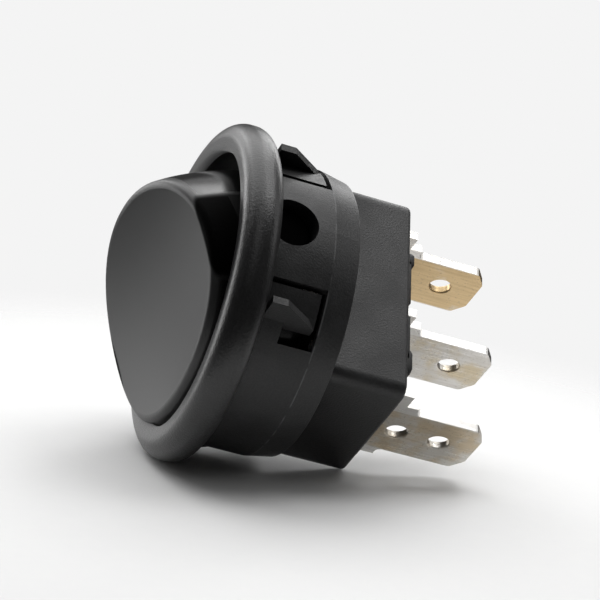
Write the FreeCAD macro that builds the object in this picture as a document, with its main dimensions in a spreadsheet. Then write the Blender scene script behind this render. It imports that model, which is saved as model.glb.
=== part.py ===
import FreeCAD, Part
import math
import operator
import os

import Sketcher

# Round snap-in rocker switch, single pole, two positions.
# Frame: the rocker faces -Y, the blade terminals point to +Y, X is the rocker's pivot axis,
# and +Z is the end of the rocker that stands proud. The origin lies on the switch axis in the
# rear plane of the flange, which is the plane that seats on the panel.

DOC = FreeCAD.newDocument("RoundRockerSwitch")
SHEET = DOC.addObject("Spreadsheet::Sheet", "Sizes")
OVERRUN = 0.1  # how far a cut runs past the material, or a joined piece into it
SAME = 0.01  # lengths closer than this are taken as equal
LEDGE_SHARE = 0.9  # most of a ledge that one round may take

# Driving dimensions in millimetres and degrees: name, value, what it is.
SIZES = [
    ("flange_radius", 11.5, "outer radius of the flange"),
    ("flange_depth", 2.6, "height of the flange's crest above the panel"),
    ("flange_edge_depth", 2.55, "height of the flange where its roll begins"),
    ("flange_roll", 1.3, "radius of the flange's outer roll"),
    ("flange_heel", 1.0, "round of the flange's rear edge"),
    ("opening_round", 0.55, "round of the opening's lip"),
    ("barrel_radius", 9.85, "outer radius of the barrel"),
    ("barrel_wall", 0.5, "wall of the barrel"),
    ("barrel_length", 5.9, "flange seat to the barrel's rear rim"),
    ("taper_length", 1.85, "length of the lead-in taper"),
    ("taper_step", 0.36, "radius lost along the taper"),
    ("rim_round", 0.12, "round of the barrel's rear rim"),
    ("floor_wall", 0.8, "floor between barrel and block"),
    ("block_width", 10.9, "rear block, along the pivot"),
    ("block_height", 15.5, "rear block, along the rocking direction"),
    ("block_end", 11.24, "flange seat to the block's rear edge"),
    ("block_corner", 0.9, "round of the block's long edges"),
    ("block_rear_round", 0.25, "round of the block's rear edges"),
    ("side_wall", 0.8, "side walls of the block round the base plate"),
    ("end_wall", 0.45, "end walls of the block round the base plate"),
    ("ledge", 0.15, "ledge that the base plate stops on"),
    ("pivot_depth", 1.1, "flange seat to the pivot axis"),
    ("pivot_hole_radius", 1.75, "pivot hole in the barrel"),
    ("pivot_clearance", 0.08, "radial play of the trunnions"),
    ("pad_height", 0.95, "bore to the face of the pivot pads"),
    ("pad_width", 5.2, "pivot pad, along the rocking direction"),
    ("pad_front", 0.9, "reach of the pivot pads in front of the seat"),
    ("pad_rear", 3.6, "reach of the pivot pads behind the seat"),
    ("window_inner", 4.0, "pivot plane to the near side of a snap window"),
    ("window_height", 3.3, "snap window, along the rocking direction"),
    ("window_length", 4.0, "snap window, along the axis"),
    ("arm_gap", 0.35, "slot round the snap arm"),
    ("arm_height", 1.95, "snap arm, along the rocking direction"),
    ("arm_notch", 1.6, "seat to the open corner beside the snap arm"),
    ("fin_thickness", 0.5, "snap fin"),
    ("fin_crest_inset", 0.45, "barrel's radius to the fin's crest"),
    ("fin_root_inset", 2.4, "barrel's radius to the fin's root in the arm"),
    ("fin_start", 0.15, "flange seat to the fin's front edge"),
    ("fin_flat", 1.2, "flange seat to the end of the fin's crest"),
    ("fin_heel_inset", 2.25, "barrel's radius to the fin's rear foot"),
    ("base_thickness", 1.1, "base plate inside the block"),
    ("base_proud", 0.05, "base plate behind the block's rear edge"),
    ("base_play", 0.03, "play of the base plate in its seat"),
    ("base_corner", 0.4, "round of the base plate's corners"),
    ("collar_width", 6.8, "collar round a terminal, along the pivot"),
    ("collar_height", 1.7, "collar round a terminal, across the blade"),
    ("collar_proud", 0.7, "collar above the base plate"),
    ("slot_play", 0.03, "play of a terminal in its slot"),
    ("row_shift", -0.35, "terminal row off the switch axis"),
    ("terminal_pitch", 6.38, "blade to blade"),
    ("blade_width", 4.8, "tab blade"),
    ("blade_thickness", 0.6, "tab stock"),
    ("outer_tip", 18.5, "flange seat to the tips of the outer blades"),
    ("middle_tip", 19.2, "flange seat to the tip of the middle blade"),
    ("tip_half", 1.35, "half width of the blade's end"),
    ("tip_bevel", 0.75, "length of the bevels at the tip"),
    ("tip_round", 0.35, "round of the tip's corners"),
    ("tab_hole_radius", 0.75, "hole in the blade"),
    ("tab_hole_rim", 0.12, "worn-in round of the hole's rim"),
    ("tab_hole_inset", 2.6, "tip to the outer hole"),
    ("root_hole_inset", 0.25, "shoulder's high side to the hole at the blade's root"),
    ("shoulder_step", 0.7, "blade's edge to the side of its shoulder"),
    ("shoulder_low", 12.5, "flange seat to the shoulder's low side"),
    ("shoulder_high", 13.1, "flange seat to the shoulder's high side"),
    ("shoulder_round", 0.4, "round between shoulder and blade"),
    ("lobe_half", 4.3, "axis to the shoulder's side lobe"),
    ("lobe_start", 10.9, "flange seat to the lobe's front"),
    ("lobe_end", 12.25, "flange seat to the lobe's rear"),
    ("foot_width", 3.8, "contact foot, along the pivot"),
    ("foot_length", 3.3, "blade to the end of the contact foot"),
    ("foot_bend", 0.4, "inner radius of the foot's bend"),
    ("prong_inner", 2.0, "axis to a fulcrum prong"),
    ("prong_width", 0.7, "width of a fulcrum prong"),
    ("prong_rise", 1.0, "prong above the fulcrum edge"),
    ("fulcrum_play", 0.06, "contact bridge above the fulcrum edge"),
    ("contact_radius", 1.1, "contact button"),
    ("contact_height", 0.45, "contact button"),
    ("contact_round", 0.2, "round of the contact button"),
    ("shank_radius", 0.55, "shank of a contact rivet"),
    ("shank_play", 0.02, "play of the shank in its hole"),
    ("upset_radius", 0.85, "closed head of a contact rivet"),
    ("upset_height", 0.22, "closed head of a contact rivet"),
    ("contact_arm", 4.7, "fulcrum to the contact buttons"),
    ("contact_gap", 0.08, "play left between closed contacts"),
    ("bridge_width", 3.5, "contact bridge, along the pivot"),
    ("bridge_thickness", 0.5, "contact bridge stock"),
    ("bridge_end", 5.9, "fulcrum to the bridge's ends"),
    ("bridge_knee", 2.3, "fulcrum to the bridge's knees"),
    ("bridge_rise", 0.58, "depth of the bridge's middle trough"),
    ("bridge_bend", 0.5, "bend radius of the bridge"),
    ("bridge_swing", 8.0, "angle of the bridge each side of level"),
    ("rocker_gap", 0.63, "bore to the rocker's cap, at the pivot sides"),
    ("cap_start", 0.3, "pivot to the skirt's rear edge"),
    ("cap_belly", 3.2, "pivot to the skirt's belly"),
    ("cap_crown", 6.9, "pivot to the blank's front, before the dish"),
    ("start_tuck", 0.07, "skirt narrower than the cap at its rear edge"),
    ("belly_tuck", 0.3, "skirt narrower than the cap at its belly"),
    ("crown_tuck", 1.4, "cap narrower at its front, along the rocking direction"),
    ("cap_wall", 1.1, "wall of the cap's skirt"),
    ("hollow_tuck", 0.85, "hollow narrower at its front, along the rocking direction"),
    ("face_height", 5.68, "pivot to the middle of the dished face"),
    ("dish_radius", 28.0, "radius of the dished face"),
    ("face_wall", 1.4, "wall behind the dished face"),
    ("face_round", 0.5, "round of the face's edge"),
    ("side_play", 0.3, "pivot pad to the rocker's side flat"),
    ("flat_front", 3.2, "pivot to the front of the side flats"),
    ("lug_width", 5.0, "trunnion lug, along the rocking direction"),
    ("lug_thickness", 1.2, "trunnion lug, along the pivot"),
    ("trunnion_recess", 0.9, "barrel's surface to a trunnion's end"),
    ("trunnion_bevel", 0.3, "bevel of a trunnion's end"),
    ("stem_radius", 2.0, "stem that guides the plunger"),
    ("stem_end", 4.0, "pivot to the stem's rear end"),
    ("web_thickness", 1.0, "webs from stem to skirt"),
    ("web_end", 1.2, "pivot to the webs' rear edges"),
    ("web_inset", 0.3, "hollow's wall to the end of a web"),
    ("rocker_tilt", 18.0, "angle of the rocker each side of level"),
    ("plunger_radius", 1.2, "plunger"),
    ("plunger_play", 0.07, "radial play of the plunger in the stem"),
    ("plunger_lift", 0.28, "bridge's trough to the plunger's tip at mid-travel"),
    ("plunger_tip_round", 1.1, "round of the plunger's tip"),
    ("plunger_length", 4.7, "plunger"),
    ("spring_pocket_radius", 0.85, "spring pocket in the plunger"),
    ("spring_pocket_depth", 2.9, "spring pocket in the plunger"),
    ("spring_bore_depth", 3.5, "pivot to the bottom of the stem's bore"),
    ("spring_radius", 0.6, "mean radius of the spring"),
    ("spring_wire", 0.15, "radius of the spring wire"),
    ("spring_turns", 8.0, "turns of the spring"),
    ("spring_play", 0.1, "play at the spring's ends"),
]


class Size:
    # A number together with the sheet expression that gives it, so that a shape's first
    # value and its binding come from one formula.
    def __init__(self, value, text):
        self.value = float(value)
        self.text = text

    def __add__(self, other):
        return combine(self, "+", other)

    def __radd__(self, other):
        return combine(other, "+", self)

    def __sub__(self, other):
        return combine(self, "-", other)

    def __rsub__(self, other):
        return combine(other, "-", self)

    def __mul__(self, other):
        return combine(self, "*", other)

    def __rmul__(self, other):
        return combine(other, "*", self)

    def __truediv__(self, other):
        return combine(self, "/", other)

    def __neg__(self):
        return Size(-self.value, f"(-{self.text})")


SIGNS = {"+": operator.add, "-": operator.sub, "*": operator.mul, "/": operator.truediv}


def as_size(number):
    return number if isinstance(number, Size) else Size(number, f"({float(number)!r})")


def combine(first, sign, second):
    first, second = as_size(first), as_size(second)
    value = SIGNS[sign](first.value, second.value)
    return Size(value, f"({first.text} {sign} {second.text})")


def limited(radius, ledge):
    # A round's radius, held within the ledge that it rounds.
    room = ledge * LEDGE_SHARE
    return Size(min(radius.value, room.value), f"min({radius.text}; {room.text})")


def cosine(angle):
    return Size(math.cos(math.radians(angle.value)), f"cos({angle.text} * 1 deg)")


def sine(angle):
    return Size(math.sin(math.radians(angle.value)), f"sin({angle.text} * 1 deg)")


class Sheet:
    # Each driving dimension by its name.
    def __init__(self, rows):
        for line, (name, value, note) in enumerate(rows, start=1):
            SHEET.set(f"A{line}", name)
            SHEET.set(f"B{line}", f"{value!r}")
            SHEET.setAlias(f"B{line}", name)
            SHEET.set(f"C{line}", note)
            setattr(self, name, Size(value, f"Sizes.{name}"))


d = Sheet(SIZES)
DOC.recompute()

# Places that several pieces share, worked out from the driving dimensions.
bore_radius = d.barrel_radius - d.barrel_wall
floor_front = d.barrel_length - d.floor_wall
seat_depth = d.block_end - d.base_thickness
base_rear = d.block_end + d.base_proud
fin_side = d.window_inner + d.arm_gap + d.arm_height
fin_crest = d.barrel_radius - d.fin_crest_inset
fin_root = d.barrel_radius - d.fin_root_inset
fin_heel = d.barrel_radius - d.fin_heel_inset
pad_face = bore_radius - d.pad_height
rocker_radius = bore_radius - d.rocker_gap
flat_face = pad_face - d.side_play
lug_inner = flat_face - d.lug_thickness
trunnion_end = d.barrel_radius - d.trunnion_recess
trunnion_radius = d.pivot_hole_radius - d.pivot_clearance
shoulder_half = d.blade_width / 2 + d.shoulder_step
foot_front = seat_depth - d.blade_thickness
fixed_contact_front = foot_front - d.contact_height
swing_sine = sine(d.bridge_swing)
swing_cosine = cosine(d.bridge_swing)
button_lean = (d.contact_radius - d.contact_round) * swing_sine + d.contact_round * (
    1.0 - swing_cosine)
closed_reach = d.contact_arm * swing_sine + button_lean - (
    d.bridge_rise - d.contact_height) * swing_cosine
fulcrum_depth = fixed_contact_front - d.contact_gap - closed_reach
plunger_tip = fulcrum_depth - d.bridge_thickness - d.plunger_lift - d.pivot_depth


def bind(thing, path, size):
    if isinstance(size, Size):
        thing.setExpression(path, size.text)


def vector(first=0.0, second=0.0, third=0.0):
    return FreeCAD.Vector(*(as_size(part).value for part in (first, second, third)))


def new_body(label):
    body = DOC.addObject("PartDesign::Body", label)
    body.Label = label
    return body


def place(thing, depth=None, height=None, tilt=None):
    # Moves a finished piece to its depth and height and tilts it about the pivot direction.
    angle = as_size(tilt if tilt is not None else 0.0)
    turn = FreeCAD.Rotation(FreeCAD.Vector(1, 0, 0), angle.value)
    thing.Placement = FreeCAD.Placement(vector(0.0, depth or 0.0, height or 0.0), turn)
    bind(thing, "Placement.Base.y", depth)
    bind(thing, "Placement.Base.z", height)
    bind(thing, "Placement.Rotation.Angle", tilt)


def new_sketch(body, role, offset=None):
    # The sketch lies on one of the body's origin planes, moved along that plane's normal.
    plane = next(part for part in body.Origin.OriginFeatures if part.Role == role)
    sketch = body.newObject("Sketcher::SketchObject", "Sketch")
    sketch.AttachmentSupport = (plane, [""])
    sketch.MapMode = "FlatFace"
    if offset is not None:
        shift = vector(0.0, 0.0, offset)
        sketch.AttachmentOffset = FreeCAD.Placement(shift, FreeCAD.Rotation())
        bind(sketch, "AttachmentOffset.Base.z", offset)
    return sketch


def fix_point(sketch, line, end, across, up):
    # Holds one end of a line at its place from the sketch's origin.
    for kind, size in (("DistanceX", across), ("DistanceY", up)):
        value = as_size(size).value
        index = sketch.addConstraint(Sketcher.Constraint(kind, -1, 1, line, end, value))
        bind(sketch, f"Constraints[{index}]", size)


def draw_polygon(sketch, corners):
    first = sketch.GeometryCount
    count = len(corners)
    for step in range(count):
        start, end = corners[step], corners[(step + 1) % count]
        sketch.addGeometry(Part.LineSegment(vector(*start), vector(*end)), False)
    for step in range(count):
        following = first + (step + 1) % count
        sketch.addConstraint(Sketcher.Constraint("Coincident", first + step, 2, following, 1))
    for step, (across, up) in enumerate(corners):
        fix_point(sketch, first + step, 1, across, up)


def draw_box(sketch, left, right, low, high):
    draw_polygon(sketch, [(left, low), (right, low), (right, high), (left, high)])


def draw_rounded_box(sketch, half_width, half_height, radius):
    # A box about the sketch's origin with its corners rounded.
    sides = [
        ((half_width, radius - half_height), (half_width, half_height - radius)),
        ((half_width - radius, half_height), (radius - half_width, half_height)),
        ((-half_width, half_height - radius), (-half_width, radius - half_height)),
        ((radius - half_width, -half_height), (half_width - radius, -half_height)),
    ]
    for start, end in sides:
        line = sketch.addGeometry(Part.LineSegment(vector(*start), vector(*end)), False)
        fix_point(sketch, line, 1, *start)
        fix_point(sketch, line, 2, *end)
    for corner in range(4):
        quarter = math.pi / 2 * corner
        centre_x = (half_width - radius) * (1 if corner in (0, 3) else -1)
        centre_y = (half_height - radius) * (1 if corner in (0, 1) else -1)
        round_off = Part.Circle(vector(centre_x, centre_y), FreeCAD.Vector(0, 0, 1), radius.value)
        arc = sketch.addGeometry(Part.ArcOfCircle(round_off, quarter, quarter + math.pi / 2), False)
        first = arc - 4
        following = arc - 3 - (4 if corner == 3 else 0)
        sketch.addConstraint(Sketcher.Constraint("Coincident", arc, 1, first, 2))
        sketch.addConstraint(Sketcher.Constraint("Coincident", arc, 2, following, 1))
        size = sketch.addConstraint(Sketcher.Constraint("Radius", arc, radius.value))
        bind(sketch, f"Constraints[{size}]", radius)


def draw_circle(sketch, across, up, radius):
    centre = vector(across, up)
    circle = Part.Circle(centre, FreeCAD.Vector(0, 0, 1), as_size(radius).value)
    index = sketch.addGeometry(circle, False)
    fix_point(sketch, index, 3, across, up)
    size = sketch.addConstraint(Sketcher.Constraint("Radius", index, as_size(radius).value))
    bind(sketch, f"Constraints[{size}]", radius)


def extrude(body, kind, sketch, length, middle=False, flip=False):
    feature = body.newObject(f"PartDesign::{kind}", kind)
    feature.Profile = sketch
    feature.Length = as_size(length).value
    bind(feature, "Length", length)
    feature.Midplane = middle
    feature.Reversed = flip
    DOC.recompute()
    return feature


def revolve(body, sketch):
    feature = body.newObject("PartDesign::Revolution", "Revolution")
    feature.Profile = sketch
    feature.ReferenceAxis = (sketch, ["V_Axis"])
    feature.Angle = 360.0
    DOC.recompute()
    return feature


def soften(body, kind, size, test):
    # Rounds or bevels the edges of the body's last feature that pass the test.
    base = body.Tip
    names = [f"Edge{number}" for number, edge in enumerate(base.Shape.Edges, start=1) if test(edge)]
    if not names:
        raise RuntimeError(f"{body.Label}: no edge to soften")
    feature = body.newObject(f"PartDesign::{kind}", kind)
    feature.Base = (base, names)
    path = "Radius" if kind == "Fillet" else "Size"
    setattr(feature, path, as_size(size).value)
    bind(feature, path, size)
    DOC.recompute()
    return feature


def near(value, size):
    return abs(value - as_size(size).value) < SAME


def ring_at(radius, depth):
    # True for a circular edge about the Y axis at that radius and depth.
    def test(edge):
        box = edge.optimalBoundingBox()
        flat = near(box.YMin, depth) and near(box.YMax, depth)
        return flat and near(box.XMax, radius) and near(box.ZMax, radius)
    return test


def line_along_y(across, up):
    # True for a straight edge along Y at that distance from the axis on both sides.
    def test(edge):
        box = edge.optimalBoundingBox()
        thin = box.XLength < SAME and box.ZLength < SAME and box.YLength > SAME
        return thin and near(abs(box.XMin), across) and near(abs(box.ZMin), up)
    return test


def line_along_z(across, depths):
    # True for a straight edge along Z at one of the depths.
    def test(edge):
        box = edge.optimalBoundingBox()
        thin = box.XLength < SAME and box.YLength < SAME and box.ZLength > SAME
        deep = any(near(box.YMin, depth) for depth in depths)
        return thin and deep and near(abs(box.XMin), across)
    return test


def line_along_x(depth, up):
    # True for a straight edge along X at that depth and height on both sides.
    def test(edge):
        box = edge.optimalBoundingBox()
        thin = box.YLength < SAME and box.ZLength < SAME and box.XLength > SAME
        return thin and near(box.YMin, depth) and near(abs(box.ZMin), up)
    return test


def make_housing():
    # Flange, barrel with its snap arms, and rear block are one moulding.
    body = new_body("housing")
    profile = new_sketch(body, "XY_Plane")
    draw_polygon(profile, [
        (0.0, floor_front),
        (bore_radius, floor_front),
        (bore_radius, -d.flange_depth),
        (d.flange_radius, -d.flange_edge_depth),
        (d.flange_radius, 0.0),
        (d.barrel_radius, 0.0),
        (d.barrel_radius, d.barrel_length - d.taper_length),
        (d.barrel_radius - d.taper_step, d.barrel_length),
        (0.0, d.barrel_length),
    ])
    revolve(body, profile)
    roll = limited(d.flange_roll, d.flange_radius - bore_radius - d.opening_round)
    soften(body, "Fillet", roll, ring_at(d.flange_radius, -d.flange_edge_depth))
    soften(body, "Fillet", d.opening_round, ring_at(bore_radius, -d.flange_depth))
    heel = limited(d.flange_heel, d.flange_radius - d.barrel_radius)
    soften(body, "Fillet", heel, ring_at(d.flange_radius, 0.0))
    soften(body, "Fillet", d.rim_round, ring_at(d.barrel_radius - d.taper_step, d.barrel_length))

    half_width = d.block_width / 2
    half_height = d.block_height / 2
    block_start = d.barrel_length - d.floor_wall / 2
    block = new_sketch(body, "XZ_Plane", -block_start)
    draw_rounded_box(block, half_width, half_height, d.block_corner)
    extrude(body, "Pad", block, d.block_end - block_start, flip=True)
    rear = as_size(d.block_end).value
    soften(body, "Fillet", d.block_rear_round,
           lambda edge: near(edge.optimalBoundingBox().YMin, rear))

    seat_half_width = half_width - d.side_wall
    seat_half_height = half_height - d.end_wall
    seat = new_sketch(body, "XZ_Plane", -d.block_end)
    draw_box(seat, -seat_half_width, seat_half_width, -seat_half_height, seat_half_height)
    extrude(body, "Pocket", seat, d.base_thickness, flip=True)
    chamber = new_sketch(body, "XZ_Plane", -d.block_end)
    draw_box(chamber, d.ledge - seat_half_width, seat_half_width - d.ledge,
             d.ledge - seat_half_height, seat_half_height - d.ledge)
    extrude(body, "Pocket", chamber, d.block_end - floor_front + OVERRUN, flip=True)

    pads = new_sketch(body, "XZ_Plane", d.pad_front)
    pad_root = bore_radius + OVERRUN
    for side in (1, -1):
        near_x, far_x = sorted((side * pad_face, side * pad_root), key=lambda size: size.value)
        draw_box(pads, near_x, far_x, -d.pad_width / 2, d.pad_width / 2)
    extrude(body, "Pad", pads, d.pad_front + d.pad_rear, flip=True)

    through = 2 * d.barrel_radius + OVERRUN
    holes = new_sketch(body, "YZ_Plane")
    draw_circle(holes, d.pivot_depth, 0.0, d.pivot_hole_radius)
    extrude(body, "Pocket", holes, through, middle=True)

    windows = new_sketch(body, "YZ_Plane")
    window_outer = d.window_inner + d.window_height
    for side in (1, -1):
        draw_polygon(windows, [
            (0.0, side * d.window_inner),
            (d.window_length, side * d.window_inner),
            (d.window_length, side * window_outer),
            (d.arm_notch, side * window_outer),
            (d.arm_notch, side * fin_side),
            (d.window_length - d.arm_gap, side * fin_side),
            (d.window_length - d.arm_gap, side * (d.window_inner + d.arm_gap)),
            (0.0, side * (d.window_inner + d.arm_gap)),
        ])
    extrude(body, "Pocket", windows, through, middle=True)

    fin_rear = d.window_length - d.arm_gap
    for level in (fin_side - d.fin_thickness, -fin_side):
        fins = new_sketch(body, "XY_Plane", level)
        for side in (1, -1):
            draw_polygon(fins, [
                (side * fin_root, d.fin_start),
                (side * fin_crest, d.fin_start),
                (side * fin_crest, d.fin_flat),
                (side * fin_heel, fin_rear),
                (side * fin_root, fin_rear),
            ])
        extrude(body, "Pad", fins, d.fin_thickness)
    return body


def terminal_levels():
    return {
        "upper": d.row_shift + d.terminal_pitch,
        "common": d.row_shift,
        "lower": d.row_shift - d.terminal_pitch,
    }


def make_base():
    # The base plate closes the block's rear and carries the three terminals.
    body = new_body("base_plate")
    half_width = d.block_width / 2 - d.side_wall - d.base_play
    half_height = d.block_height / 2 - d.end_wall - d.base_play
    plate = new_sketch(body, "XZ_Plane", -seat_depth)
    draw_box(plate, -half_width, half_width, -half_height, half_height)
    extrude(body, "Pad", plate, base_rear - seat_depth, flip=True)
    soften(body, "Fillet", d.base_corner, line_along_y(half_width, half_height))
    collars = new_sketch(body, "XZ_Plane", -base_rear)
    for level in terminal_levels().values():
        draw_box(collars, -d.collar_width / 2, d.collar_width / 2,
                 level - d.collar_height / 2, level + d.collar_height / 2)
    extrude(body, "Pad", collars, d.collar_proud, flip=True)
    slots = new_sketch(body, "XZ_Plane", -(base_rear + d.collar_proud))
    half_slot = d.blade_thickness / 2 + d.slot_play
    for level in terminal_levels().values():
        draw_box(slots, -shoulder_half - d.slot_play, d.lobe_half + d.slot_play,
                 level - half_slot, level + half_slot)
    slot_length = base_rear + d.collar_proud - seat_depth
    extrude(body, "Pocket", slots, slot_length + OVERRUN, flip=True)
    return body


def draw_blade(body, tip, inner_half, inner_depth):
    # Outline of the stamped blade: shoulders in the base, bevelled tip, two holes.
    blade_half = d.blade_width / 2
    sketch = new_sketch(body, "XY_Plane", -d.blade_thickness / 2)
    draw_polygon(sketch, [
        (-inner_half, inner_depth),
        (inner_half, inner_depth),
        (inner_half, seat_depth),
        (shoulder_half, seat_depth),
        (shoulder_half, d.lobe_start),
        (d.lobe_half, d.lobe_start),
        (d.lobe_half, d.lobe_end),
        (shoulder_half, d.lobe_end),
        (shoulder_half, d.shoulder_high),
        (blade_half, d.shoulder_high),
        (blade_half, tip - d.tip_bevel),
        (d.tip_half, tip),
        (-d.tip_half, tip),
        (-blade_half, tip - d.tip_bevel),
        (-blade_half, d.shoulder_low),
        (-shoulder_half, d.shoulder_low),
        (-shoulder_half, seat_depth),
        (-inner_half, seat_depth),
    ])
    draw_circle(sketch, 0.0, tip - d.tab_hole_inset, d.tab_hole_radius)
    draw_circle(sketch, 0.0, d.shoulder_high - d.root_hole_inset, d.tab_hole_radius)
    extrude(body, "Pad", sketch, d.blade_thickness)
    soften(body, "Fillet", d.tip_round, line_along_z(d.tip_half, [tip]))
    soften(body, "Fillet", d.tip_round, line_along_z(blade_half, [tip - d.tip_bevel]))
    soften(body, "Fillet", d.shoulder_round,
           line_along_z(blade_half, [d.shoulder_high, d.shoulder_low]))
    soften(body, "Fillet", d.tab_hole_rim, lambda edge: isinstance(edge.Curve, Part.Circle)
           and len(edge.Vertexes) == 1)


def make_fixed_terminal(label, level, side):
    # A blade whose inner end is bent towards the middle as a foot for its contact.
    body = new_body(label)
    foot_half = d.foot_width / 2
    draw_blade(body, d.outer_tip, foot_half, seat_depth - OVERRUN)
    face = d.blade_thickness / 2
    foot_end = d.foot_length
    foot = new_sketch(body, "YZ_Plane")
    draw_polygon(foot, [
        (seat_depth, side * face),
        (foot_front, side * face),
        (foot_front, side * -foot_end),
        (seat_depth, side * -foot_end),
    ])
    extrude(body, "Pad", foot, d.foot_width, middle=True)
    soften(body, "Fillet", d.foot_bend, line_along_x(foot_front, face))
    hole = new_sketch(body, "XZ_Plane", -foot_front)
    draw_circle(hole, 0.0, side * (d.contact_arm - d.terminal_pitch), d.shank_radius + d.shank_play)
    extrude(body, "Pocket", hole, d.blade_thickness, flip=False)
    place(body, height=level)
    return body


def make_common_terminal(level):
    # The middle blade ends inside in an edge between two prongs, the bridge's fulcrum.
    body = new_body("common_terminal")
    prong_outer = d.prong_inner + d.prong_width
    draw_blade(body, d.middle_tip, prong_outer, fulcrum_depth - d.prong_rise)
    mouth = new_sketch(body, "XY_Plane", -d.blade_thickness)
    draw_box(mouth, -d.prong_inner, d.prong_inner,
             fulcrum_depth - d.prong_rise - OVERRUN, fulcrum_depth + d.fulcrum_play)
    extrude(body, "Pocket", mouth, 2 * d.blade_thickness, flip=True)
    place(body, height=level)
    return body


def make_rivet(label, hole_length, upset):
    # A contact button in front of the sheet it is riveted to, whose face is the local origin
    # plane. The bridge's rivets are closed with a second head behind the sheet.
    body = new_body(label)
    profile = new_sketch(body, "XY_Plane")
    corners = [
        (0.0, -d.contact_height),
        (d.contact_radius, -d.contact_height),
        (d.contact_radius, 0.0),
        (d.shank_radius, 0.0),
        (d.shank_radius, hole_length),
    ]
    if upset:
        corners += [
            (d.upset_radius, hole_length),
            (d.upset_radius, hole_length + d.upset_height),
            (0.0, hole_length + d.upset_height),
        ]
    else:
        corners += [(0.0, hole_length)]
    draw_polygon(profile, corners)
    revolve(body, profile)
    soften(body, "Fillet", d.contact_round, ring_at(d.contact_radius, -d.contact_height))
    return body


def make_fixed_contact(label, side):
    body = make_rivet(label, d.blade_thickness, upset=False)
    place(body, depth=foot_front, height=d.row_shift + side * d.contact_arm)


def make_moving_contact(label, side):
    # The bridge's sheet faces rearwards and is tilted, so the rivet is turned over with it.
    body = make_rivet(label, d.bridge_thickness, upset=True)
    arm = side * d.contact_arm
    place(body, depth=fulcrum_depth - d.bridge_rise * swing_cosine + arm * swing_sine,
          height=d.row_shift + d.bridge_rise * swing_sine + arm * swing_cosine,
          tilt=180.0 - d.bridge_swing)


def make_bridge():
    # The moving contact: a sprung copper strip with a trough that rocks on the fulcrum edge.
    body = new_body("contact_bridge")
    strip = new_sketch(body, "YZ_Plane")
    rear = [
        (-d.bridge_rise, -d.bridge_end),
        (-d.bridge_rise, -d.bridge_knee),
        (0.0, 0.0),
        (-d.bridge_rise, d.bridge_knee),
        (-d.bridge_rise, d.bridge_end),
    ]
    front = [(depth - d.bridge_thickness, height) for depth, height in reversed(rear)]
    draw_polygon(strip, rear + front)
    extrude(body, "Pad", strip, d.bridge_width, middle=True)
    inner, outer = d.bridge_bend, d.bridge_bend + d.bridge_thickness
    soften(body, "Fillet", outer, line_along_x(0.0, 0.0))
    soften(body, "Fillet", inner, line_along_x(-d.bridge_thickness, 0.0))
    soften(body, "Fillet", inner, line_along_x(-d.bridge_rise, d.bridge_knee))
    soften(body, "Fillet", outer,
           line_along_x(-d.bridge_rise - d.bridge_thickness, d.bridge_knee))
    holes = new_sketch(body, "XZ_Plane", d.bridge_rise + d.bridge_thickness)
    for side in (1, -1):
        draw_circle(holes, 0.0, side * d.contact_arm, d.shank_radius + d.shank_play)
    extrude(body, "Pocket", holes, d.bridge_thickness)
    place(body, depth=fulcrum_depth, height=d.row_shift, tilt=-d.bridge_swing)


def draw_ellipse(sketch, across, up):
    # The ellipse is held by its centre and by one end of each axis.
    ellipse = sketch.addGeometry(Part.Ellipse(vector(across), vector(0.0, up), vector()), False)
    sketch.exposeInternalGeometry(ellipse)
    fix_point(sketch, ellipse, 3, 0.0, 0.0)
    long_axis, short_axis = ellipse + 1, ellipse + 2
    fix_point(sketch, long_axis, 1, across, 0.0)
    height = sketch.addConstraint(
        Sketcher.Constraint("DistanceY", -1, 1, short_axis, 1, as_size(up).value))
    bind(sketch, f"Constraints[{height}]", up)


def loft(body, kind, sections):
    sketches = []
    for depth, across, up in sections:
        sketch = new_sketch(body, "XZ_Plane", -depth)
        draw_ellipse(sketch, across, up)
        sketches.append(sketch)
    feature = body.newObject(f"PartDesign::{kind}", kind)
    feature.Profile = sketches[0]
    feature.Sections = sketches[1:]
    DOC.recompute()


def make_cap(body, hollow, hollow_front):
    # Oval-crowned cap with a dished face, hollow behind, with flats at its pivot sides.
    cap = rocker_radius
    skirt_rear = d.cap_start + OVERRUN
    loft(body, "AdditiveLoft", [
        (d.cap_start, cap, cap - d.start_tuck),
        (-d.cap_belly, cap, cap - d.belly_tuck),
        (-d.cap_crown, cap, cap - d.crown_tuck),
    ])
    dish = new_sketch(body, "YZ_Plane")
    draw_circle(dish, -(d.face_height + d.dish_radius), 0.0, d.dish_radius)
    extrude(body, "Pocket", dish, 3 * cap, middle=True)
    dished = [face for face in body.Tip.Shape.Faces if isinstance(face.Surface, Part.Cylinder)
              and near(face.Surface.Radius, d.dish_radius)]
    rim = [edge for face in dished for edge in face.Edges]
    soften(body, "Fillet", d.face_round, lambda edge: any(edge.isSame(part) for part in rim))
    loft(body, "SubtractiveLoft", [
        (skirt_rear, hollow, hollow - d.start_tuck),
        (-d.cap_belly / 2, hollow, hollow - d.belly_tuck / 2),
        (hollow_front, hollow, hollow - d.hollow_tuck),
    ])
    flats = new_sketch(body, "XZ_Plane", -skirt_rear)
    outside = cap + OVERRUN
    for left, right in ((flat_face, outside), (-outside, -flat_face)):
        draw_box(flats, left, right, -outside, outside)
    extrude(body, "Pocket", flats, d.flat_front + skirt_rear, flip=True)


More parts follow.
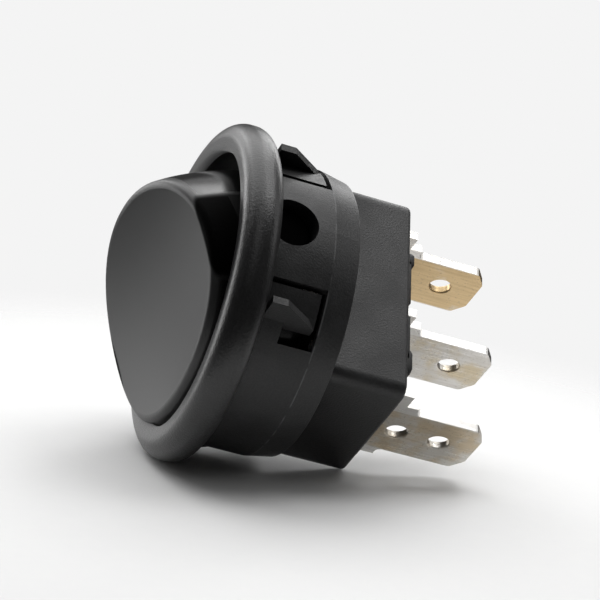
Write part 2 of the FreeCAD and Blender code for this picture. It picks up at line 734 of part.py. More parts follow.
def add_trunnions(body):
    # A lug inside each flat, rounded about the pivot, with the trunnion through it.
    lug_half = d.lug_width / 2
    lug_depth = d.lug_thickness
    for lug_level, trunnion_level in ((lug_inner, lug_inner), (-flat_face, -trunnion_end)):
        lug = new_sketch(body, "YZ_Plane", lug_level)
        draw_box(lug, -d.flat_front, 0.0, -lug_half, lug_half)
        extrude(body, "Pad", lug, lug_depth)
        lug_end = new_sketch(body, "YZ_Plane", lug_level)
        draw_circle(lug_end, 0.0, 0.0, lug_half)
        extrude(body, "Pad", lug_end, lug_depth)
        trunnion = new_sketch(body, "YZ_Plane", trunnion_level)
        draw_circle(trunnion, 0.0, 0.0, trunnion_radius)
        extrude(body, "Pad", trunnion, trunnion_end - lug_inner)

    def at_trunnion_end(edge):
        box = edge.optimalBoundingBox()
        return box.XLength < SAME and near(abs(box.XMin), trunnion_end)

    soften(body, "Chamfer", d.trunnion_bevel, at_trunnion_end)


def make_rocker():
    # The rocker about its own pivot, face to -Y: a cap with a stem for the plunger and two
    # lugs that carry the trunnions.
    body = new_body("rocker")
    hollow = rocker_radius - d.cap_wall
    hollow_front = d.face_wall - d.face_height
    make_cap(body, hollow, hollow_front)
    add_trunnions(body)
    webs = new_sketch(body, "XZ_Plane", -d.web_end)
    web_half = hollow - d.web_inset
    draw_box(webs, -web_half, web_half, -d.web_thickness / 2, d.web_thickness / 2)
    extrude(body, "Pad", webs, d.web_end - hollow_front + OVERRUN)
    stem = new_sketch(body, "XZ_Plane", -d.stem_end)
    draw_circle(stem, 0.0, 0.0, d.stem_radius)
    extrude(body, "Pad", stem, d.stem_end - hollow_front + OVERRUN)
    bore = new_sketch(body, "XZ_Plane", -d.stem_end)
    draw_circle(bore, 0.0, 0.0, d.plunger_radius + d.plunger_play)
    extrude(body, "Pocket", bore, d.stem_end + d.spring_bore_depth, flip=True)
    place(body, depth=d.pivot_depth, tilt=d.rocker_tilt)


def make_plunger():
    # Slides in the stem and presses the bridge with its round tip; the spring sits in it.
    body = new_body("plunger")
    profile = new_sketch(body, "XY_Plane")
    top = plunger_tip - d.plunger_length
    draw_polygon(profile, [
        (0.0, plunger_tip),
        (d.plunger_radius, plunger_tip),
        (d.plunger_radius, top),
        (d.spring_pocket_radius, top),
        (d.spring_pocket_radius, top + d.spring_pocket_depth),
        (0.0, top + d.spring_pocket_depth),
    ])
    revolve(body, profile)
    soften(body, "Fillet", d.plunger_tip_round, ring_at(d.plunger_radius, plunger_tip))
    place(body, depth=d.pivot_depth, tilt=d.rocker_tilt)


def make_spring():
    # A round wire swept along a helix from the stem's bore into the plunger's pocket.
    front = -d.spring_bore_depth + d.spring_play + d.spring_wire
    rear = plunger_tip - d.plunger_length + d.spring_pocket_depth - d.spring_play - d.spring_wire
    length = rear - front
    helix = DOC.addObject("Part::Helix", "SpringHelix")
    helix.Radius = d.spring_radius.value
    helix.Height = length.value
    helix.Pitch = (length / d.spring_turns).value
    bind(helix, "Radius", d.spring_radius)
    bind(helix, "Height", length)
    bind(helix, "Pitch", length / d.spring_turns)
    upright = FreeCAD.Rotation(FreeCAD.Vector(1, 0, 0), -90)
    helix.Placement = FreeCAD.Placement(vector(0.0, front), upright)
    bind(helix, "Placement.Base.y", front)
    wire = DOC.addObject("Part::Circle", "SpringWire")
    wire.Radius = d.spring_wire.value
    bind(wire, "Radius", d.spring_wire)
    wire.Placement = FreeCAD.Placement(vector(d.spring_radius, front), FreeCAD.Rotation())
    bind(wire, "Placement.Base.x", d.spring_radius)
    bind(wire, "Placement.Base.y", front)
    DOC.recompute()
    turns = [f"Edge{number}" for number in range(1, len(helix.Shape.Edges) + 1)]
    spring = DOC.addObject("Part::Sweep", "plunger_spring")
    spring.Label = "plunger_spring"
    spring.Sections = [wire]
    spring.Spine = (helix, turns)
    spring.Solid = True
    spring.Frenet = True
    place(spring, depth=d.pivot_depth, tilt=d.rocker_tilt)
    return spring


def main():
    make_housing()
    make_base()
    levels = terminal_levels()
    make_fixed_terminal("upper_terminal", levels["upper"], 1)
    make_fixed_terminal("lower_terminal", levels["lower"], -1)
    make_common_terminal(levels["common"])
    make_fixed_contact("upper_fixed_contact", 1)
    make_fixed_contact("lower_fixed_contact", -1)
    make_bridge()
    make_moving_contact("upper_moving_contact", 1)
    make_moving_contact("lower_moving_contact", -1)
    make_rocker()
    make_plunger()
    spring = make_spring()
    return [thing for thing in DOC.Objects if thing.TypeId == "PartDesign::Body"] + [spring]


def export(pieces):
    DOC.recompute()
    for thing in DOC.Objects:
        if "Invalid" in thing.State or "Error" in thing.State:
            raise RuntimeError(f"{thing.Label}: {thing.State}")
    os.makedirs("parts", exist_ok=True)
    for piece in pieces:
        shape = piece.Shape
        if shape.isNull() or not shape.isValid():
            raise RuntimeError(f"{piece.Label}: bad shape")
        print(f"{piece.Label}: {len(shape.Solids)} solid, {shape.Volume:.2f} mm3")
        shape.exportStep(f"parts/{piece.Label}.step")


export(main())
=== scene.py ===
import bmesh
import bpy
import numpy as np
from mathutils import Matrix, Vector


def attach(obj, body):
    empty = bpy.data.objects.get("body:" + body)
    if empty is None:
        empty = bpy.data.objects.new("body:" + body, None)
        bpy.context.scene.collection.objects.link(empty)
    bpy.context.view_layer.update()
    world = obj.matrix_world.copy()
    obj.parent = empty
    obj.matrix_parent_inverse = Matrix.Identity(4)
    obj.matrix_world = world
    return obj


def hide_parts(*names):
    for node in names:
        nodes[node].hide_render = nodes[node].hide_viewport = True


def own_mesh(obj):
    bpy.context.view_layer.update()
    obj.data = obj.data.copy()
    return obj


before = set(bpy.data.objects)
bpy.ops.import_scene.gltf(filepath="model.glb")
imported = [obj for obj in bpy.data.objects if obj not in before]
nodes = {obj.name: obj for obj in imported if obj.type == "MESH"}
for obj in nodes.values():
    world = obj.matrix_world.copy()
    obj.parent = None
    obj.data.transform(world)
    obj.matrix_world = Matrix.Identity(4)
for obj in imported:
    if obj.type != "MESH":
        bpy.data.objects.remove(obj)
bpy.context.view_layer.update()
mm = 0.001


# shader helpers

def newGroup(name, inputs, outputs):
    group = bpy.data.node_groups.new(name, "ShaderNodeTree")
    for label, kind in inputs:
        group.interface.new_socket(label, in_out="INPUT", socket_type=kind)
    for label, kind in outputs:
        group.interface.new_socket(label, in_out="OUTPUT", socket_type=kind)
    return group, group.nodes.new("NodeGroupInput"), group.nodes.new("NodeGroupOutput")


def addNode(tree, kind, settings=None, **links):
    # one shader node with its plain values, and its inputs joined to other sockets by name
    node = tree.nodes.new(kind)
    for key, value in (settings or {}).items():
        if key in node.inputs:
            node.inputs[key].default_value = value
        else:
            setattr(node, key, value)
    for key, source in links.items():
        tree.links.new(source, node.inputs[key])
    return node


def fillSlots(tree, slots, values):
    # each slot is joined to its value where that is a socket, and otherwise holds it
    for slot, value in zip(slots, values):
        if isinstance(value, bpy.types.NodeSocket):
            tree.links.new(value, slot)
        else:
            slot.default_value = value


def mathNode(tree, operation, *values, clamp=False):
    node = addNode(tree, "ShaderNodeMath", {"operation": operation, "use_clamp": clamp})
    fillSlots(tree, node.inputs, values)
    return node.outputs[0]


def vectorNode(tree, operation, *values):
    node = addNode(tree, "ShaderNodeVectorMath", {"operation": operation})
    fillSlots(tree, node.inputs, values)
    givesNumber = operation in ("LENGTH", "DISTANCE", "DOT_PRODUCT")
    return node.outputs["Value" if givesNumber else "Vector"]


def inverse(tree, mask):
    return mathNode(tree, "SUBTRACT", 1.0, mask)


def mixNode(tree, kind, mask, low, high):
    node = addNode(tree, "ShaderNodeMix", {"data_type": kind})
    fillSlots(tree, [socket for socket in node.inputs if socket.enabled], (mask, low, high))
    return [socket for socket in node.outputs if socket.enabled][0]


def blendColour(tree, mask, low, high):
    # plain colours get their fourth part here
    low, high = ((*value, 1) if isinstance(value, tuple) else value for value in (low, high))
    return mixNode(tree, "RGBA", mask, low, high)


def blendNumber(tree, mask, low, high):
    return mixNode(tree, "FLOAT", mask, low, high)


def ramp(tree, value, edges):
    # 0 below the first edge, 1 above the second, smooth between them
    settings = {"interpolation_type": "SMOOTHSTEP", "From Min": edges[0], "From Max": edges[1]}
    return addNode(tree, "ShaderNodeMapRange", settings, Value=value).outputs["Result"]


def objectPlace(tree):
    return addNode(tree, "ShaderNodeTexCoord").outputs["Object"]


def centred(tree):
    # object coordinates, moved to the middle of the switch
    settings = {"Location": (0, -5 * mm, 0)}
    return addNode(tree, "ShaderNodeMapping", settings, Vector=objectPlace(tree)).outputs["Vector"]


def noise(tree, vector, scale, detail, rough):
    settings = {"Scale": scale, "Detail": detail, "Roughness": rough}
    return addNode(tree, "ShaderNodeTexNoise", settings, Vector=vector).outputs["Fac"]


print("shared shader groups")

# moulded surface: slow clouds, fine grain and thin scratches
# each noise is given by its scale, detail and roughness
mouldLook = {
    "clouds": (320.0, 4.0, 0.55),
    "grain": {"Detail": 2.0, "Roughness": 0.6},
    "scratches": (7000.0, 2.0, 0.7),
    "scratchForm": {"Scale": (1.0, 0.12, 0.3), "Rotation": (0.3, 0.5, 0.9)},
    "scratchEdge": (0.68, 0.76),
    "patches": (500.0, 2.0, 0.5),
    "patchEdge": (0.5, 0.7),
}
mouldGroup, groupIn, groupOut = newGroup(
    "mouldedSurface",
    [("Vector", "NodeSocketVector"), ("Grain Scale", "NodeSocketFloat")],
    [("Clouds", "NodeSocketFloat"), ("Grain", "NodeSocketFloat"), ("Scratches", "NodeSocketFloat")])
spot = groupIn.outputs["Vector"]
clouds = noise(mouldGroup, spot, *mouldLook["clouds"])
grain = addNode(mouldGroup, "ShaderNodeTexNoise", mouldLook["grain"], Vector=spot,
                Scale=groupIn.outputs["Grain Scale"])
stretched = addNode(mouldGroup, "ShaderNodeMapping", mouldLook["scratchForm"], Vector=spot).outputs["Vector"]
scratches = ramp(mouldGroup, noise(mouldGroup, stretched, *mouldLook["scratches"]), mouldLook["scratchEdge"])
patches = ramp(mouldGroup, noise(mouldGroup, spot, *mouldLook["patches"]), mouldLook["patchEdge"])
fillSlots(mouldGroup, [groupOut.inputs[label] for label in ("Clouds", "Grain", "Scratches")],
          (clouds, grain.outputs["Fac"], mathNode(mouldGroup, "MULTIPLY", scratches, patches)))

# rolled strip: streaks along the blade, stains and pits
stripLook = {
    "streakForm": {"Scale": (1.0, 0.06, 1.0)},
    "streaks": (5200.0, 3.0, 0.6),
    "stains": (420.0, 4.0, 0.6),
    "pits": (6000.0, 1.0, 0.5),
    "pitEdge": (0.63, 0.72),
}
stripGroup, groupIn, groupOut = newGroup(
    "rolledStrip",
    [("Vector", "NodeSocketVector")],
    [("Streaks", "NodeSocketFloat"), ("Stains", "NodeSocketFloat"), ("Pits", "NodeSocketFloat")])
spot = groupIn.outputs["Vector"]
stretched = addNode(stripGroup, "ShaderNodeMapping", stripLook["streakForm"], Vector=spot).outputs["Vector"]
streaks = noise(stripGroup, stretched, *stripLook["streaks"])
stains = noise(stripGroup, spot, *stripLook["stains"])
pits = ramp(stripGroup, noise(stripGroup, spot, *stripLook["pits"]), stripLook["pitEdge"])
fillSlots(stripGroup, [groupOut.inputs[label] for label in ("Streaks", "Stains", "Pits")],
          (streaks, stains, pits))


def newMaterial(name):
    material = bpy.data.materials.new(name)
    material.use_nodes = True
    tree = material.node_tree
    return material, tree, tree.nodes["Principled BSDF"]


def joinSurface(tree, shader, colour, roughness, height, strength, distance):
    tree.links.new(colour, shader.inputs["Base Color"])
    tree.links.new(roughness, shader.inputs["Roughness"])
    bump = addNode(tree, "ShaderNodeBump", {"Strength": strength, "Distance": distance}, Height=height)
    tree.links.new(bump.outputs["Normal"], shader.inputs["Normal"])


def recolour(tree, shader, mask, colour):
    before = shader.inputs["Base Color"].links[0].from_socket
    tree.links.new(blendColour(tree, mask, before, colour), shader.inputs["Base Color"])


def roughen(tree, shader, mask, roughness):
    before = shader.inputs["Roughness"].links[0].from_socket
    tree.links.new(blendNumber(tree, mask, before, roughness), shader.inputs["Roughness"])


# colour and roughness of the painted shade in deep recesses
recessShadeLook = {
    "colour": (0.002, 0.002, 0.002),
    "rough": 0.9,
}


def paintRecessShade(tree, shader, mask):
    # painted shade in a deep recess: black and matt, and metallic, so without a plastic's shine
    recolour(tree, shader, mask, recessShadeLook["colour"])
    roughen(tree, shader, mask, recessShadeLook["rough"])
    tree.links.new(mask, shader.inputs["Metallic"])


def leanNormal(tree, shader, wanted, mask):
    # the surface normal leans towards a wanted direction, in the piece's own axes, where the
    # mask is 1, and the bump lies on top of it
    kinds = {"vector_type": "NORMAL", "convert_from": "OBJECT", "convert_to": "WORLD"}
    wanted = addNode(tree, "ShaderNodeVectorTransform", kinds, Vector=wanted).outputs["Vector"]
    own = addNode(tree, "ShaderNodeNewGeometry").outputs["Normal"]
    lean = vectorNode(tree, "NORMALIZE", mixNode(tree, "VECTOR", mask, own, wanted))
    bump = shader.inputs["Normal"].links[0].from_node
    tree.links.new(lean, bump.inputs["Normal"])


plasticLook = {
    "toneEdge": (0.35, 0.65),
    "cloudEdge": (0.3, 0.7),
    "scratch": (0.16, 0.16, 0.165),
    "scratchRough": 0.15,
    "index": 1.52,
}


def mouldedPlastic(name, look):
    # dyed plastic off a spark-eroded or polished mould
    material, tree, shader = newMaterial(name)
    group = addNode(tree, "ShaderNodeGroup", {"node_tree": mouldGroup})
    tree.links.new(centred(tree), group.inputs["Vector"])
    group.inputs["Grain Scale"].default_value = look["grain"]
    clouds, grain, scratches = (group.outputs[label] for label in ("Clouds", "Grain", "Scratches"))
    tone = mathNode(tree, "MULTIPLY", mathNode(tree, "ADD", clouds, grain), 0.5)
    colour = blendColour(tree, ramp(tree, tone, plasticLook["toneEdge"]), look["dark"], look["light"])
    worn = mathNode(tree, "MULTIPLY", scratches, look["wear"])
    colour = blendColour(tree, worn, colour, plasticLook["scratch"])
    roughness = blendNumber(tree, ramp(tree, clouds, plasticLook["cloudEdge"]), *look["rough"])
    scuffed = mathNode(tree, "MULTIPLY", scratches, plasticLook["scratchRough"])
    roughness = mathNode(tree, "ADD", roughness, scuffed, clamp=True)
    joinSurface(tree, shader, colour, roughness, grain, look["bump"], look["depth"])
    shader.inputs["IOR"].default_value = plasticLook["index"]
    return material, tree, shader


metalLook = {
    "streakEdge": (0.35, 0.7),
    "streakShare": 0.22,
    "streakShade": 0.55,
    "pit": (0.2, 0.17, 0.13),
    "pitShare": 0.35,
    "pitDepth": 0.6,
    "roughEdge": (0.3, 0.7),
    # colour of the painted highlight on the blades' edges
    "edgeHighlight": (0.74, 0.73, 0.71),
    "edgeHighlightShare": 0.9,
    "depth": 0.00003,
}


def sheetMetal(name, look):
    # rolled and stamped strip, plated or bare
    material, tree, shader = newMaterial(name)
    group = addNode(tree, "ShaderNodeGroup", {"node_tree": stripGroup})
    tree.links.new(centred(tree), group.inputs["Vector"])
    streaks, stains, pits = (group.outputs[label] for label in ("Streaks", "Stains", "Pits"))
    colour = blendColour(tree, ramp(tree, stains, look["tint"]), look["bare"], look["plated"])
    shade = mathNode(tree, "MULTIPLY", ramp(tree, streaks, metalLook["streakEdge"]), metalLook["streakShare"])
    shaded = tuple(metalLook["streakShade"] * part for part in look["bare"])
    colour = blendColour(tree, shade, colour, shaded)
    pitted = mathNode(tree, "MULTIPLY", pits, metalLook["pitShare"])
    colour = blendColour(tree, pitted, colour, metalLook["pit"])
    if "cut" in look:
        # painted highlight: the blades' narrow stamped edges are painted bright
        across = addNode(tree, "ShaderNodeSeparateXYZ", Vector=objectPlace(tree)).outputs["X"]
        edgeHighlight = ramp(tree, mathNode(tree, "ABSOLUTE", across), look["cut"])
        edgeHighlight = mathNode(tree, "MULTIPLY", edgeHighlight, metalLook["edgeHighlightShare"])
        colour = blendColour(tree, edgeHighlight, colour, metalLook["edgeHighlight"])
    roughness = blendNumber(tree, ramp(tree, streaks, metalLook["roughEdge"]), *look["rough"])
    height = mathNode(tree, "SUBTRACT", streaks, mathNode(tree, "MULTIPLY", pits, metalLook["pitDepth"]))
    joinSurface(tree, shader, colour, roughness, height, look["bump"], metalLook["depth"])
    shader.inputs["Metallic"].default_value = 1.0
    return material


# mesh helpers

def dress(piece, material):
    piece.data.materials.clear()
    piece.data.materials.append(material)


def mergedCopy(name, label):
    # a loose copy of a node, its doubled points merged
    piece = nodes[name].copy()
    piece.name = label
    piece.data = nodes[name].data.copy()
    bpy.context.scene.collection.objects.link(piece)
    shape = bmesh.new()
    shape.from_mesh(piece.data)
    bmesh.ops.remove_doubles(shape, verts=shape.verts, dist=0.001 * mm)
    shape.to_mesh(piece.data)
    shape.free()
    return piece


def readPoints(piece):
    # the mesh's points as rows of an array, in millimetres
    points = np.zeros(len(piece.data.vertices) * 3)
    piece.data.vertices.foreach_get("co", points)
    return points.reshape(-1, 3) / mm


print("housing")

# edges and places in metres, from the axis or from the flange's rear plane
housingLook = {
    "grain": 7500.0,
    "dark": (0.007, 0.007, 0.0073),
    "light": (0.017, 0.017, 0.0175),
    "wear": 0.25,
    "rough": (0.42, 0.56),
    "bump": 0.8,
    "depth": 0.00003,
    "taperHighlight": 0.00405,  # where the lead-in taper starts
    "taperHighlightEdge": (0.00002, 0.00007),
    # colour of the painted highlight along the taper's edge
    "taperHighlightColour": (0.12, 0.12, 0.122),
    "taperHighlightShare": 0.6,
    "taperHighlightBreaks": (900.0, 3.0, 0.5),
    "breakEdge": (0.42, 0.56),
    "polish": (-0.0008, 0.0002),
    "polishRough": 0.3,
    "flatEdge": (0.0101, 0.0106),
    "lip": (-0.00215, -0.00205),
    "pivot": (0, 0.0011, 0),
    "holeEdge": (0.00171, 0.00177),
    "holeMouth": (0.00975, 0.00985),
}
housingPlastic, tree, shader = mouldedPlastic("housingPlastic", housingLook)
place = objectPlace(tree)
parts = addNode(tree, "ShaderNodeSeparateXYZ", Vector=place)
# painted highlight: a thin lighter line runs round the barrel where the lead-in taper starts, broken here and
# there
away = mathNode(tree, "ABSOLUTE", mathNode(tree, "SUBTRACT", parts.outputs["Y"], housingLook["taperHighlight"]))
broken = ramp(tree, noise(tree, centred(tree), *housingLook["taperHighlightBreaks"]), housingLook["breakEdge"])
taperHighlight = mathNode(tree, "MULTIPLY", inverse(tree, ramp(tree, away, housingLook["taperHighlightEdge"])), broken)
recolour(tree, shader, mathNode(tree, "MULTIPLY", taperHighlight, housingLook["taperHighlightShare"]), housingLook["taperHighlightColour"])
# the flange was polished in the mould and is smoother than the barrel
polished = inverse(tree, ramp(tree, parts.outputs["Y"], housingLook["polish"]))
roughen(tree, shader, polished, housingLook["polishRough"])
# the flange's front lies flat from its sharp inner lip to the roll
radius = vectorNode(tree, "LENGTH", vectorNode(tree, "MULTIPLY", place, (1, 0, 1)))
flat = inverse(tree, ramp(tree, radius, housingLook["flatEdge"]))
front = inverse(tree, ramp(tree, parts.outputs["Y"], housingLook["lip"]))
forward = addNode(tree, "ShaderNodeCombineXYZ", {"Y": -1.0}).outputs["Vector"]
leanNormal(tree, shader, forward, mathNode(tree, "MULTIPLY", flat, front))
# painted shade: the inside of the pivot holes is painted black
bore = vectorNode(tree, "DISTANCE", vectorNode(tree, "MULTIPLY", place, (0, 1, 1)), housingLook["pivot"])
holeShade = inverse(tree, ramp(tree, bore, housingLook["holeEdge"]))
depth = mathNode(tree, "ABSOLUTE", parts.outputs["X"])
below = inverse(tree, ramp(tree, depth, housingLook["holeMouth"]))
paintRecessShade(tree, shader, mathNode(tree, "MULTIPLY", holeShade, below))
dress(nodes["housing"], housingPlastic)

print("base plate")

baseLook = {
    "grain": 8000.0,
    "dark": (0.006, 0.006, 0.006),
    "light": (0.014, 0.014, 0.0145),
    "wear": 0.3,
    "rough": (0.5, 0.62),
    "bump": 0.7,
    "depth": 0.00002,
}
basePlastic = mouldedPlastic("basePlastic", baseLook)[0]

# lengths in millimetres
collarLook = {
    "face": 11.29,  # the plate's own rear face
    "slack": 0.005,
    "rise": 0.25,  # share of the collars' height that shows in the photo
    "levels": (6.03, -0.35, -6.73),
    "slot": 0.36,  # half height of a blade's slot
    "reach": 0.9,
    "narrow": 0.3,  # share kept of a collar's wall beside the slot
}
# points behind the plate's face keep a share of their height above it, and a collar's wall
# keeps a share of its distance from the slot that it stands round
plate = mergedCopy("base_plate", "basePlateLow")
points = readPoints(plate)
rear = points[:, 1] > collarLook["face"] - collarLook["slack"]
for level in collarLook["levels"]:
    beside = points[:, 2] - level
    wall = rear & (np.abs(beside) > collarLook["slot"]) & (np.abs(beside) < collarLook["reach"])
    kept = collarLook["slot"] + (np.abs(beside) - collarLook["slot"]) * collarLook["narrow"]
    points[wall, 2] = level + (np.sign(beside) * kept)[wall]
points[rear, 1] = collarLook["face"] + (points[rear, 1] - collarLook["face"]) * collarLook["rise"]
plate.data.vertices.foreach_set("co", (points * mm).ravel())
plate.data.update()
dress(plate, basePlastic)
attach(plate, "base")
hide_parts("base_plate")

print("rocker and plunger")

# edges and places in metres
rockerLook = {
    "grain": 14000.0,
    "dark": (0.003, 0.003, 0.0032),
    "light": (0.007, 0.007, 0.0073),
    "wear": 0.2,
    "rough": (0.15, 0.24),
    "bump": 0.25,
    "depth": 0.00001,
    "pivot": (0, 0.0011, 0),
    "tilt": 18.0,  # degrees
    "satin": (0.0050, 0.0056),  # in front of the pivot, where the face's satin begins
    "satinColour": (0.017, 0.017, 0.0175),
    "satinShare": 0.6,
    "satinRough": 0.42,
    "skirt": (0.0044, 0.0050),
    "skirtShare": 0.75,
    "trunnion": (0.0079, 0.0082),
}
rockerPlastic, tree, shader = mouldedPlastic("rockerPlastic", rockerLook)
place = objectPlace(tree)
tilt = np.radians(rockerLook["tilt"])
axis = (0, float(np.cos(tilt)), float(np.sin(tilt)))
offset = vectorNode(tree, "SUBTRACT", place, rockerLook["pivot"])
reach = mathNode(tree, "MULTIPLY", vectorNode(tree, "DOT_PRODUCT", offset, axis), -1.0)
satin = ramp(tree, reach, rockerLook["satin"])
roughen(tree, shader, satin, rockerLook["satinRough"])
recolour(tree, shader, mathNode(tree, "MULTIPLY", satin, rockerLook["satinShare"]), rockerLook["satinColour"])
# the skirt is one oval sweep without a corner
along = vectorNode(tree, "PROJECT", offset, axis)
outward = vectorNode(tree, "NORMALIZE", vectorNode(tree, "SUBTRACT", offset, along))
skirt = inverse(tree, ramp(tree, reach, rockerLook["skirt"]))
leanNormal(tree, shader, outward, mathNode(tree, "MULTIPLY", skirt, rockerLook["skirtShare"]))
# painted shade: the trunnions' ends, deep in the holes, are painted black
across = addNode(tree, "ShaderNodeSeparateXYZ", Vector=place).outputs["X"]
paintRecessShade(tree, shader, ramp(tree, mathNode(tree, "ABSOLUTE", across), rockerLook["trunnion"]))
dress(nodes["rocker"], rockerPlastic)

plungerLook = {
    "grain": 9000.0,
    "dark": (0.62, 0.6, 0.53),
    "light": (0.74, 0.72, 0.66),
    "wear": 0.1,
    "rough": (0.35, 0.45),
    "bump": 0.2,
    "depth": 0.00001,
}
dress(nodes["plunger"], mouldedPlastic("plungerPlastic", plungerLook)[0])

print("metal pieces")

# the cut says how far from the axis the painted highlight on a blade's sheared edge begins, in metres
metalLooks = {
    "upper_terminal": {"plated": (0.66, 0.6, 0.5), "bare": (0.58, 0.43, 0.24), "tint": (0.6, 0.85),
                       "rough": (0.3, 0.44), "cut": (0.00226, 0.00238), "bump": 0.35},
    "common_terminal": {"plated": (0.68, 0.66, 0.63), "bare": (0.62, 0.53, 0.38), "tint": (0.3, 0.55),
                        "rough": (0.26, 0.4), "cut": (0.00226, 0.00238), "bump": 0.3},
    "lower_terminal": {"plated": (0.66, 0.64, 0.6), "bare": (0.6, 0.5, 0.36), "tint": (0.38, 0.62),
                       "rough": (0.26, 0.4), "cut": (0.00226, 0.00238), "bump": 0.3},
    "upper_fixed_contact": {"plated": (0.86, 0.85, 0.82), "bare": (0.7, 0.68, 0.64), "tint": (0.3, 0.6),
                            "rough": (0.2, 0.3), "bump": 0.2},
    "contact_bridge": {"plated": (0.74, 0.5, 0.36), "bare": (0.6, 0.34, 0.2), "tint": (0.35, 0.65),
                       "rough": (0.24, 0.38), "bump": 0.3},
    "plunger_spring": {"plated": (0.56, 0.56, 0.56), "bare": (0.4, 0.4, 0.41), "tint": (0.35, 0.6),
                       "rough": (0.22, 0.34), "bump": 0.15},
}
for name, look in metalLooks.items():
    dress(nodes[name], sheetMetal(name + "Metal", look))
for name in ("lower_fixed_contact", "upper_moving_contact", "lower_moving_contact"):
    dress(nodes[name], nodes["upper_fixed_contact"].data.materials[0])

# the share of the spring's length that the plunger's stroke would leave is worked out, but the copy's points
# are not moved
springLook = {
    "axis": (0.0, 0.9510565, 0.309017),
    "anchor": (0.0, -2.134, -1.051),  # millimetres
    "stroke": 0.8,
}
spring = mergedCopy("plunger_spring", "plungerSpringSoft")
heights = readPoints(spring) @ np.array(springLook["axis"])
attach(spring, "rocker")
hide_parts("plunger_spring")
kept = 1 - springLook["stroke"] / float(np.ptp(heights))
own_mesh(spring)

print("ribs on the base plate")


def sweep(name, profile, path, body, material):
    # closed section carried along a straight path: every station repeats the section's points,
    # scaled about its own middle by the station's factor
    section = np.array(profile, float)
    heights, grow = np.array(path, float).T
    count = len(section)
    middle = section.mean(0)
    points = np.zeros((len(heights), count, 3))
    points[:, :, :2] = middle + (section - middle) * grow[:, None, None]
    points[:, :, 2] = heights[:, None]
    rows = np.arange(len(heights) - 1)[:, None] * count
    steps = np.arange(count)[None, :]
    following = (steps + 1) % count
    sides = np.stack([rows + steps, rows + following, rows + count + following, rows + count + steps], -1)
    lowEnd = list(range(count))[::-1]
    highEnd = list(range((len(heights) - 1) * count, len(heights) * count))
    mesh = bpy.data.meshes.new(name)
    faces = sides.reshape(-1, 4).tolist() + [lowEnd, highEnd]
    mesh.from_pydata((points.reshape(-1, 3) * mm).tolist(), [], faces)
    mesh.polygons.foreach_set("use_smooth", np.ones(len(mesh.polygons), bool))
    mesh.update()
    piece = bpy.data.objects.new(name, mesh)
    bpy.context.scene.collection.objects.link(piece)
    dress(piece, material)
    bevel = piece.modifiers.new("softEdges", "BEVEL")
    bevel.width = ribLook["round"] * mm
    bevel.segments = 2
    bevel.limit_method = "ANGLE"
    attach(piece, body)


# lengths in millimetres
ribLook = {
    "side": 4.15,  # from the axis to the rib's middle
    "half": 0.42,
    "root": 11.2,
    "top": 11.72,
    "spans": {"rearRib": (-4.3, -0.85), "rearRibUpper": (0.15, 3.6)},  # each rib's two ends
    "pips": {"rearPipLow": (-4.42, 0.95), "rearPipHigh": (3.72, 0.6)},  # place and half length
    "pipForm": ((-1, 0.7), (-0.6, 1), (0.6, 1), (1, 0.7)),  # share of the half length, width
    "pipTop": 11.92,
    "round": 0.06,
}


def ribSection(middle, top):
    low, high = middle - ribLook["half"], middle + ribLook["half"]
    return [(low, ribLook["root"]), (high, ribLook["root"]), (high, top), (low, top)]


for label, side in (("Near", 1), ("Far", -1)):
    middle = side * ribLook["side"]
    for name, ends in ribLook["spans"].items():
        path = [(end, 1) for end in ends]
        sweep(name + label, ribSection(middle, ribLook["top"]), path, "base", basePlastic)
    for name, (height, half) in ribLook["pips"].items():
        path = [(height + share * half, width) for share, width in ribLook["pipForm"]]
        sweep(name + label, ribSection(middle, ribLook["pipTop"]), path, "base", basePlastic)

print("floor and world")

stageLook = {
    "up": (0.7, -0.21, 0.685),  # square to the plane on which the switch rests
    "depth": -11.1,  # millimetres along up
    "edge": 0.13,
    "fade": (0.024, 0.052),
    "tone": (0.82, 0.82, 0.82),
    "paper": (0.84, 0.84, 0.835),
    "fleck": (900.0, 3.0, 0.5),
    "rough": 0.7,
    "shine": 0.1,
    "backdrop": (0.905, 0.905, 0.905, 1),
    "room": (0.06, 0.06, 0.06, 1),
}


def mixShaders(tree, mask, low, high, output):
    mixer = addNode(tree, "ShaderNodeMixShader")
    fillSlots(tree, mixer.inputs, (mask, low, high))
    tree.links.new(mixer.outputs["Shader"], tree.nodes[output].inputs["Surface"])


up = Vector(stageLook["up"]).normalized()
across = Vector((0, 1, 0)).cross(up).normalized()
stageTurn = Matrix((across, up.cross(across), up)).transposed().to_4x4()
edge = stageLook["edge"]
corners = [(-edge, -edge, 0), (edge, -edge, 0), (edge, edge, 0), (-edge, edge, 0)]
floorMesh = bpy.data.meshes.new("floor")
floorMesh.from_pydata(corners, [], [(0, 1, 2, 3)])
floor = bpy.data.objects.new("floor", floorMesh)
bpy.context.scene.collection.objects.link(floor)
floor.matrix_world = Matrix.Translation(up * stageLook["depth"] * mm) @ stageTurn
whiteTable, tree, shader = newMaterial("whiteTable")
spot = objectPlace(tree)
fleck = noise(tree, spot, *stageLook["fleck"])
colour = blendColour(tree, fleck, stageLook["tone"], stageLook["paper"])
tree.links.new(colour, shader.inputs["Base Color"])
shader.inputs["Roughness"].default_value = stageLook["rough"]
shader.inputs["Specular IOR Level"].default_value = stageLook["shine"]
# the table fades into the backdrop, and from below it isn't there
fade = ramp(tree, vectorNode(tree, "LENGTH", spot), stageLook["fade"])
behind = addNode(tree, "ShaderNodeNewGeometry").outputs["Backfacing"]
clear = addNode(tree, "ShaderNodeBsdfTransparent").outputs["BSDF"]
gone = mathNode(tree, "MAXIMUM", fade, behind)
mixShaders(tree, gone, shader.outputs["BSDF"], clear, "Material Output")
floorMesh.materials.append(whiteTable)

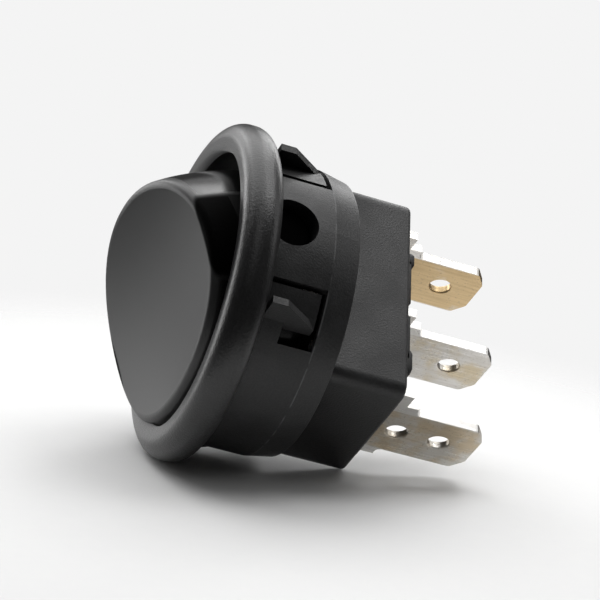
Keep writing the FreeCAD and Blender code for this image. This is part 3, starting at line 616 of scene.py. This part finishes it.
# the camera sees a white backdrop, and the switch is lit by a dim room
world = bpy.data.worlds.new("studio")
bpy.context.scene.world = world
world.use_nodes = True
tree = world.node_tree
backdrop = tree.nodes["Background"]
backdrop.inputs["Color"].default_value = stageLook["backdrop"]
room = addNode(tree, "ShaderNodeBackground", {"Color": stageLook["room"]})
seen = addNode(tree, "ShaderNodeLightPath").outputs["Is Camera Ray"]
mixShaders(tree, seen, room.outputs["Background"], backdrop.outputs["Background"], "World Output")

print("camera and light")

shot = {
    "place": (143.8, -49.9, -106.3),  # millimetres
    "right": (0.385, 0.922, 0.039),
    "up": (0.517, -0.251, 0.819),
    "back": (0.765, -0.295, -0.573),
    "focal": 2795.9,  # pixels
    "frame": 600,  # pixels
    "sensor": 36.0,
    "clip": (0.01, 5),
}
camera = bpy.data.cameras.new("camera")
camera.sensor_width = shot["sensor"]
camera.lens = shot["focal"] / shot["frame"] * shot["sensor"]
camera.clip_start, camera.clip_end = shot["clip"]
cameraObject = bpy.data.objects.new("camera", camera)
bpy.context.scene.collection.objects.link(cameraObject)
# the three rounded axes, squared up to a true turn
left, _, right = np.linalg.svd(np.array([shot["right"], shot["up"], shot["back"]], float).T)
turn = left @ right
cameraObject.matrix_world = Matrix.Translation(Vector(shot["place"]) * mm) @ Matrix(turn.tolist()).to_4x4()
bpy.context.scene.camera = cameraObject

# each panel: direction from the switch in camera terms (right, up, away), distance, size, power
panels = {
    "overhead": {"towards": (-0.1, 0.94, 0.2), "distance": 0.42, "size": (0.6, 0.5), "power": 2.2},
    "leftFill": {"towards": (-0.85, 0.3, 0.45), "distance": 0.4, "size": (0.2, 0.25), "power": 0.5},
    "rightHigh": {"towards": (0.53, 0.84, -0.09), "distance": 0.42, "size": (0.17, 0.17), "power": 0.34},
    "frontTop": {"towards": (0.1, 0.7, -0.7), "distance": 0.45, "size": (0.25, 0.25), "power": 0.11},
    "backTop": {"towards": (0.05, 0.8, 0.6), "distance": 0.42, "size": (0.25, 0.25), "power": 0.09},
    "key": {"towards": (0.28, 0.81, 0.49), "distance": 0.4, "size": (0.1, 0.1), "power": 0.05},
    "backLeft": {"towards": (-0.5, 0.5, 0.7), "distance": 0.4, "size": (0.2, 0.2), "power": 0.26},
    "backRight": {"towards": (0.35, 0.45, 0.75), "distance": 0.36, "size": (0.12, 0.2), "power": 0.3},
    "rightSide": {"towards": (0.9, 0.4, 0.1), "distance": 0.4, "size": (0.2, 0.25), "power": 0.18},
}
rightAxis, upAxis, backAxis = (Vector(column) for column in turn.T.tolist())
for name, panel in panels.items():
    light = bpy.data.lights.new(name, "AREA")
    light.shape = "RECTANGLE"
    light.size, light.size_y = panel["size"]
    light.energy = panel["power"]
    lamp = bpy.data.objects.new(name, light)
    bpy.context.scene.collection.objects.link(lamp)
    side, high, away = panel["towards"]
    towards = (rightAxis * side + upAxis * high - backAxis * away).normalized()
    facing = towards.to_track_quat("Z", "Y").to_matrix().to_4x4()
    lamp.matrix_world = Matrix.Translation(towards * panel["distance"]) @ facing
    lamp.visible_camera = False

bpy.context.scene.view_settings.view_transform = "Standard"
